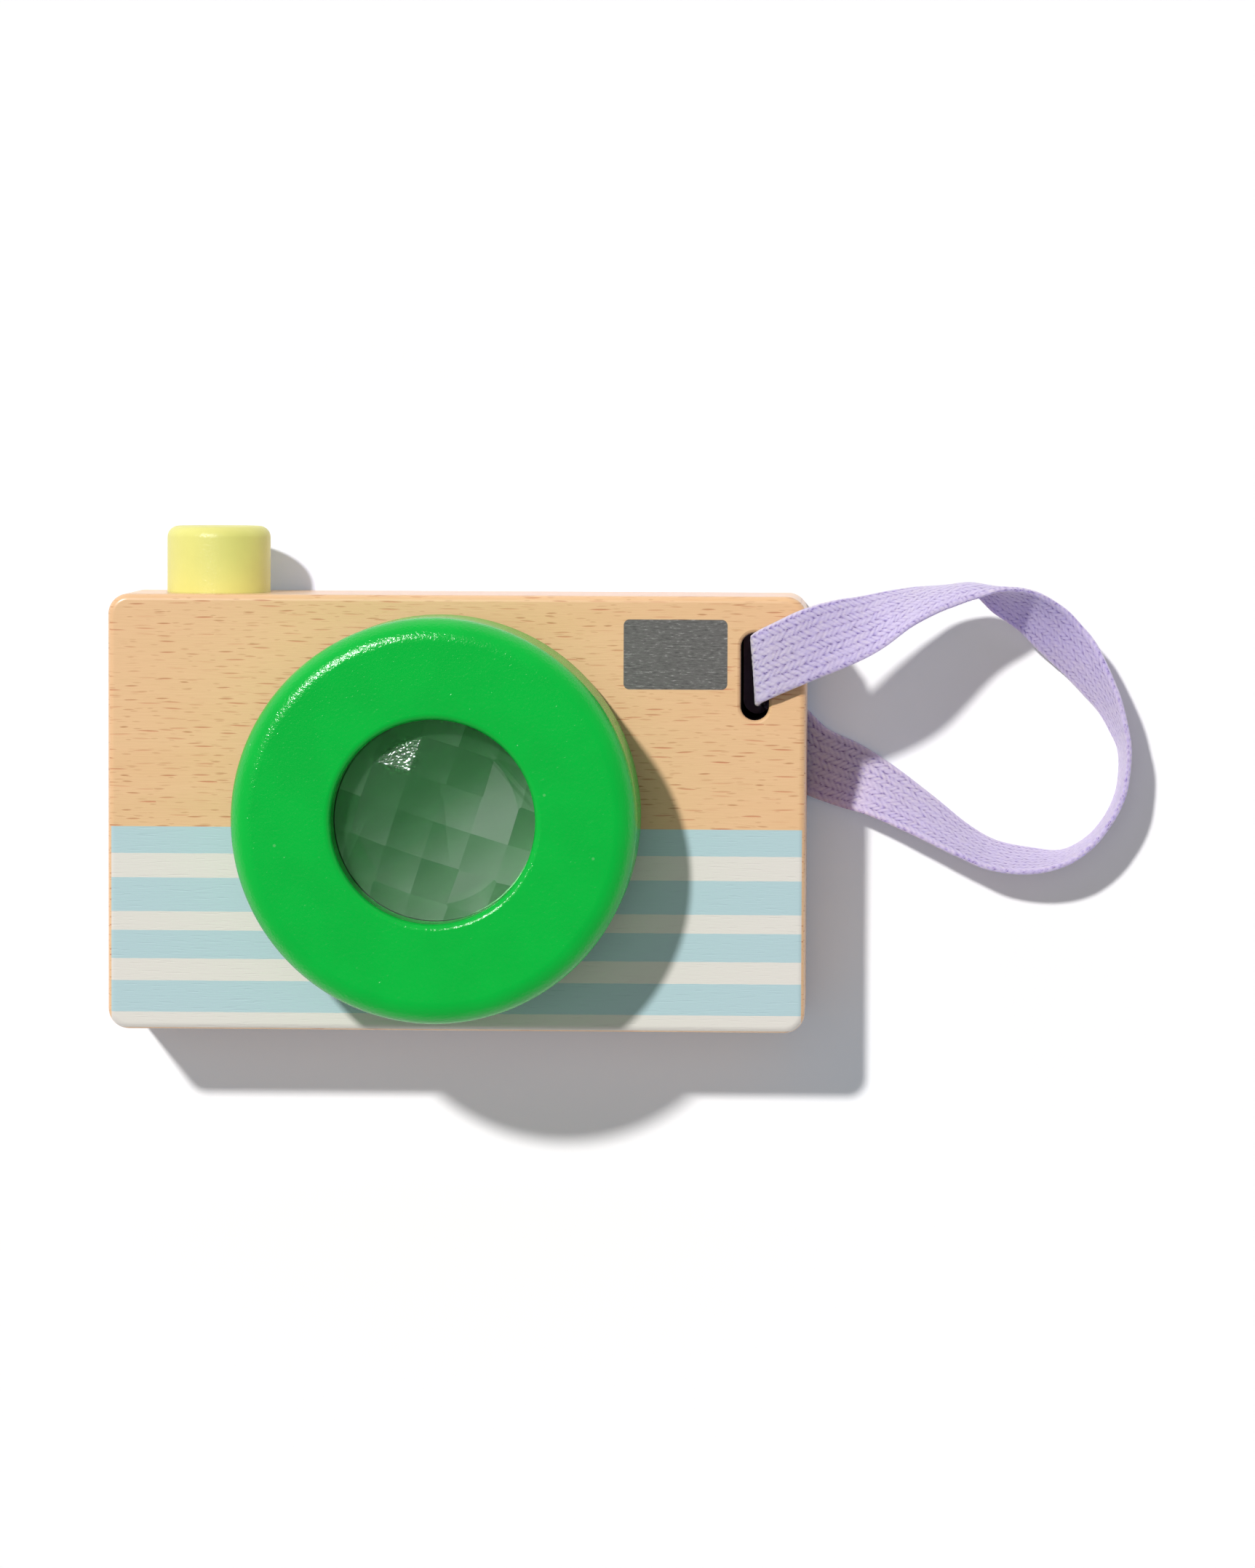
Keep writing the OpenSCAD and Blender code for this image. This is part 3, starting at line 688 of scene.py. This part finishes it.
def build_ring(mat):
    tube_r, seat = TUBE_R + GLUE_FIT, RING_T - APERTURE_T
    profile = ([(tube_r, 0)] + arc(RING_R - RING_BACK_R, RING_BACK_R, RING_BACK_R, -90, 0, 12)
               + arc(RING_R - RING_FRONT_R, RING_T - RING_FRONT_R, RING_FRONT_R, 0, 90, 18)
               + arc(APERTURE_R + LIP_R, RING_T - LIP_R, LIP_R, 90, 180, 10)
               + [(APERTURE_R, seat), (tube_r, seat)])
    verts, faces = lathe(profile, 192)
    ob = new_piece("ring", to_m(verts, (LENS_X, LENS_Y, RING_Z)), faces, mat, "lens_unit", "lens_ring",
                   SMOOTH_BELOW)
    weighted(ob)


def build_button(mat):
    """The button, with a cup for the spring and a slot for the cross pin."""
    at = (BUTTON_X, TOP_Y, BUTTON_Z)
    cup_r, cup_floor = 5.9, BUTTON_IN - 3
    profile = ([(AXIS_R, -BUTTON_OUT)]
               + arc(BUTTON_R - BUTTON_EDGE_R, BUTTON_EDGE_R - BUTTON_OUT, BUTTON_EDGE_R, -90, 0, 12)
               + [(BUTTON_R, BUTTON_IN), (cup_r, BUTTON_IN), (cup_r, cup_floor), (AXIS_R, cup_floor)])
    verts, faces = lathe(profile, 128, False)
    ob = new_piece("button", to_m(lay_down(verts), at), faces, mat, "shutter", "shutter_button",
                   SMOOTH_BELOW)

    slot_r, reach = PIN_R + 0.08, 12
    outline = arc(0, PRESS - PIN_DEPTH, slot_r, 0, 180, 12) + arc(0, -PIN_DEPTH, slot_r, 180, 360, 12)
    verts, faces = loft([[(x, y, z) for x, y in outline] for z in (-reach, reach)])
    cut(ob, [(to_m(verts, at), faces)])
    smooth_after_cut(ob)
    weighted(ob)


def build_eyepiece(mat):
    bevel, soft = 0.3, 0.6
    profile = ([(EYEPIECE_R - bevel, 0), (EYEPIECE_R, bevel), (EYEPIECE_R, EYEPIECE_T),
                (REBATE_R, EYEPIECE_T), (REBATE_R, REBATE_Z), (EYEPIECE_HOLE_R, REBATE_Z)]
               + arc(EYEPIECE_HOLE_R + soft, soft, soft, 180, 270, 6))
    verts, faces = lathe(profile, 160)
    ob = new_piece("eyepiece", to_m(verts, (LENS_X, LENS_Y, 0)), faces, mat, "camera_body", "eyepiece_ring",
                   SMOOTH_BELOW)
    weighted(ob)


def build_spring(mat):
    """The coil under the button."""
    seat, length, r, wire_r, turns, steps = TOP_Y - 25.2, 14.2, 5.0, 0.48, 6, 32
    points = []
    for i in range(turns * steps + 1):
        a = 2 * math.pi * i / steps
        y = seat + length - wire_r - (length - 2 * wire_r) * i / (turns * steps)
        points.append((r * math.cos(a), y, -r * math.sin(a)))
    verts, faces = tube(points, wire_r)
    ob = new_piece("spring", to_m(verts, (BUTTON_X, 0, BUTTON_Z)), faces, mat, "camera_body", "button_spring",
                   60)
    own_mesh(ob)


# Strap

def strap_rows():
    """The tape's way from part.scad: a point from the slot's middle, then the direction across the tape."""
    d, e = BODY_D, 6.4
    wall, lap = 1.675, 0.575
    return np.array([
        (lap, 0, 0.3 * d, 0, -1, 0), (lap, 0.4, 0.6 * d, 0, -1, 0), (0.3, 0.9, d - 1, 0.03, -1, 0),
        (0.2, 1.3, d + 1, 0.1, -1, 0), (1.7, 2.2, d + 2.1, 0.15, -1, 0), (4.7, 3.6, d + 2.3, 0.2, -0.98, 0),
        (9.4, 5.7, d + 2, 0.3, -0.95, 0.03), (14.5, 7.5, d, 0.3, -0.9, 0.3),
        (19.8, 9.2, 0.9 * d, 0.28, -0.73, 0.6), (25, 11.5, 0.8 * d, 0.25, -0.5, 0.85),
        (29.6, 12.9, 0.69 * d, 0.2, -0.33, 0.92), (33.7, 13.5, 0.61 * d, 0.1, -0.2, 0.97),
        (37.5, 13.7, 0.56 * d, 0, -0.05, 1), (42, 12.8, 0.48 * d, 0.15, 0.35, 0.92),
        (46.8, 11, 0.37 * d, 0.25, 0.55, 0.8), (51, 7.9, 0.26 * d, 0.38, 0.6, 0.7),
        (54, 5, e - 0.6, 0.38, 0.58, 0.72), (56.9, 1.8, e - 0.9, 0.37, 0.5, 0.79),
        (61.1, -4.7, e - 0.3, 0.25, 0.28, 0.93), (63.1, -9.4, e - 0.2, 0.15, 0.2, 0.97),
        (64.1, -13, e, 0.1, 0.1, 0.99), (64.1, -17.3, e, 0.07, 0.05, 1), (63.3, -21.6, e, 0.06, 0.03, 1),
        (61.1, -26, e, 0.04, 0, 1), (57.8, -29.8, e, 0.02, -0.06, 1), (53.4, -32.3, e, 0, -0.13, 0.99),
        (47.8, -32.8, e - 0.2, -0.06, -0.28, 0.95), (41.2, -31.8, e - 0.3, -0.12, -0.33, 0.93),
        (35.6, -29.1, e - 0.5, -0.2, -0.37, 0.91), (29.2, -25.1, e - 1, -0.3, -0.5, 0.82),
        (21.8, -20.8, 4.2, -0.38, -0.67, 0.62), (15.5, -18, 2.2, -0.4, -0.87, 0.28),
        (11, -16.2, 1.2, -0.42, -0.9, 0.06), (8.5, -14.4, 1, -0.4, -0.9, 0), (5.8, -10.8, 1, -0.3, -0.95, 0),
        (3.4, -5, 1, -0.1, -1, 0), (1.9, -1.5, 1.1, 0, -1, 0), (wall - 0.4, -0.4, 2.3, 0, -1, 0),
        (wall - 0.1, 0, 4.4, 0, -1, 0), (wall, 0, 0.5 * d, 0, -1, 0)], float)


def strap_sections(spacing):
    """Evenly spaced sections of the tape: middles, directions across and through it, and the length so far.

    A smooth curve (Catmull-Rom) runs through the rows, and is then divided evenly.
    """
    rows = strap_rows()
    last = len(rows) - 1
    steps = 40
    fine = []
    for i in range(last):
        a, b, c, d = rows[max(i - 1, 0)], rows[i], rows[i + 1], rows[min(i + 2, last)]
        for k in range(steps):
            s = k / steps
            fine.append((2 * b + (c - a) * s + (2 * a - 5 * b + 4 * c - d) * s * s
                         + (3 * b - a - 3 * c + d) * s ** 3) / 2)
    fine = np.array(fine + [rows[last]])
    run = np.concatenate([[0], np.cumsum(np.linalg.norm(np.diff(fine[:, :3], axis=0), axis=1))])
    n = int(run[-1] / spacing)
    u = np.linspace(0, run[-1], n + 1)
    even = np.stack([np.interp(u, run, fine[:, k]) for k in range(6)], 1)
    mid = even[:, :3] + np.array([SLOT_X, SLOT_Y, 0])
    across = even[:, 3:] / np.linalg.norm(even[:, 3:], axis=1, keepdims=True)
    through = np.cross(np.gradient(mid, axis=0), across)
    through /= np.linalg.norm(through, axis=1, keepdims=True)
    return mid, across, through, u


def weave(u, v):
    """Height of the weave, 0 between the yarns to 1 on them. u is along the tape and v across it.

    Rows of slanted stitches run along the tape, with a small hole between the rows at each stitch. The rows
    sway a little, and the stitches are of uneven depth, as soft yarns are.
    """
    wide, pitch, slant = 1.35, 1.1, 1.2
    v = v + 0.08 * np.sin(0.9 * u + 1.7 * np.sin(0.31 * u)) + 0.05 * np.sin(2.3 * u + 1.1 * v)
    row = np.floor(v / wide + 0.5)
    local = v / wide + 0.5 - row
    lean = np.where(row % 2 == 0, 1.0, -1.0)
    sway = 0.12 * np.sin(1.9 * u + 2.6 * row) + 0.37 * row
    phase = u / pitch + lean * (local - 0.5) * slant + sway
    groove = 1 - np.abs(np.sin(math.pi * phase))
    # A fixed number between 0 and 1 for each stitch
    chance = (np.sin(12.9898 * np.floor(phase + 0.5) + 78.233 * row) * 43758.5453) % 1
    seam = np.abs(local - 0.5) * 2
    hole = np.exp(-((1 - groove) / 0.62) ** 2) * np.clip((seam - 0.4) / 0.6, 0, 1)
    depth = (0.14 + 0.34 * chance) * groove ** 2 + 0.15 * seam ** 4 + (0.3 + 0.6 * chance) * hole
    return np.clip(1 - depth, 0, 1)


def strap_faces(n, n_across):
    """Faces of a tape of n sections: front, back, both edges and both ends."""
    w = n_across + 1
    back = n * w
    faces = []
    for i in range(n - 1):
        a, b = i * w, (i + 1) * w
        for k in range(n_across):
            faces.append((a + k, a + k + 1, b + k + 1, b + k))
            faces.append((back + a + k, back + b + k, back + b + k + 1, back + a + k + 1))
        faces.append((a, b, back + b, back + a))
        faces.append((a + n_across, back + a + n_across, back + b + n_across, b + n_across))
    a = (n - 1) * w
    for k in range(n_across):
        faces.append((k + 1, k, back + k, back + k + 1))
        faces.append((a + k, a + k + 1, back + a + k + 1, back + a + k))
    return faces


def build_strap(mat):
    """The woven tape, with the weave's height as a layer of its mesh for the material."""
    half_w, n_across = STRAP_W / 2, 56
    mid, across, through, u = strap_sections(0.22)
    v = np.linspace(-half_w, half_w, n_across + 1)
    grid_u, grid_v = np.meshgrid(u, v, indexing="ij")

    # The tape is thinner at its edges, and bowed across its width where it turns over
    core, relief, edge_t, edge_w = 0.33, 0.15, 0.02, 0.5
    taper = np.clip((half_w - np.abs(grid_v)) / edge_w, 0, 1)
    taper = np.sqrt(1 - (1 - taper) ** 2)
    turn_over = np.array([SLOT_X + 37.5, SLOT_Y + 13.7, 0.56 * BODY_D])
    turn = u[np.argmin(np.linalg.norm(mid - turn_over, axis=1))]
    bow_depth, bow_reach, back_shift = -1.8, 9, 0.75
    bow = bow_depth * np.exp(-((grid_u - turn) / bow_reach) ** 2) * (1 - (grid_v / half_w) ** 2)
    verts, height = [], []
    for side, shift in ((1, 0), (-1, back_shift)):
        h = weave(grid_u, side * grid_v + shift)
        thick = side * (taper * (core + relief * h) + edge_t) + bow
        pts = (mid[:, None, :] + across[:, None, :] * grid_v[..., None]
               + through[:, None, :] * thick[..., None])
        verts.append(pts.reshape(-1, 3))
        height.append(h.reshape(-1))
    verts = np.concatenate(verts) * MM
    ob = new_piece("tape", verts, strap_faces(len(u), n_across), mat, "camera_body", "strap")

    layer = ob.data.attributes.new("weave", "FLOAT", "POINT")
    layer.data.foreach_set("value", np.concatenate(height).astype(np.float32))
    # The back lies beside the front in the map, so that its fibres differ
    flat = np.stack([grid_u.reshape(-1), grid_v.reshape(-1)], 1) * MM
    flat = np.concatenate([flat, flat + np.array([0.5, 0])])
    corner = np.empty(len(ob.data.loops), np.int32)
    ob.data.loops.foreach_get("vertex_index", corner)
    uv = ob.data.uv_layers.new(name="tape")
    uv.data.foreach_set("uv", flat[corner].astype(np.float32).reshape(-1))


def build_stitches(mat):
    """The threads through the lapped ends: each comes up through both layers and lies along the inner one."""
    x0, x1, bend_r, thread_r = SLOT_X - 0.02, SLOT_X + 2.2, 0.3, 0.2
    verts, faces = [], []
    for z in (9.8, 12.6):
        bend = arc(x0 + bend_r, z + bend_r, bend_r, 270, 180, 6)
        way = [(x1, z), (x0 + 1.2, z)] + bend + [(x0 + 0.02, z + 1.2), (x0 + 0.2, z + 1.5)]
        for y in (-3.6, 0.0, 3.6):
            v, f = tube([(along, SLOT_Y + y, up) for along, up in way], thread_r, 8)
            faces += [tuple(k + len(verts) for k in face) for face in f]
            verts += v
    new_piece("stitches", to_m(verts), faces, mat, "camera_body", "strap_stitches")


# The scene

add_camera()
add_sun("key", (0.3973, -0.5129, -1.0), 0.71, 3.2)
add_sun("overhead", (0.0, 0.0, -1.0), 0.1, 40.0, False)
add_world()

build_strap(tape())

wood = beech("beech")
printed = printed_beech()
# The slot's walls are made near black.
dark_slot = plain("dark_slot_beech", linear(14, 9, 11), 0.95, grain=(0.4, 3, 3), spread=0.4, shine=0.05)
build_block(printed, dark_slot)
build_ring(paint("green_paint", linear(0, 185, 61), 0.19))
build_button(paint("yellow_paint", linear(231, 226, 131), 0.34))
build_eyepiece(wood)

clear = clear_acrylic("clear_acrylic", linear(232, 240, 234))[0]
lens = lens_acrylic()
sleeve = plain("sleeve_paint", linear(128, 204, 138), 0.7)
steel = plain("steel", linear(190, 190, 188), 0.35, metal=1.0)
felt = plain("felt", linear(70, 70, 72), 0.95, grain=(5, 5, 5), depth=0.1, spread=0.3)
rubber = plain("rubber", linear(30, 30, 31), 0.7)
thread = plain("thread", linear(208, 196, 230), 0.9, grain=(6, 6, 1.5), depth=0.05)
build_spring(steel)
build_stitches(thread)

# The other nodes keep their CAD meshes
dressed = {"faceted_lens": lens, "eyepiece_window": clear, "lens_tube": sleeve, "retaining_flange": sleeve,
           "flange_screws": steel, "spring_seat": steel, "button_pin": steel, "front_washer": felt,
           "rear_washer": felt, "lens_seal": rubber, "pin_plug": wood}
for name, mat in dressed.items():
    nodes[name].data.materials.clear()
    nodes[name].data.materials.append(mat)

add_floor()

bpy.context.scene.view_settings.view_transform = "Standard"
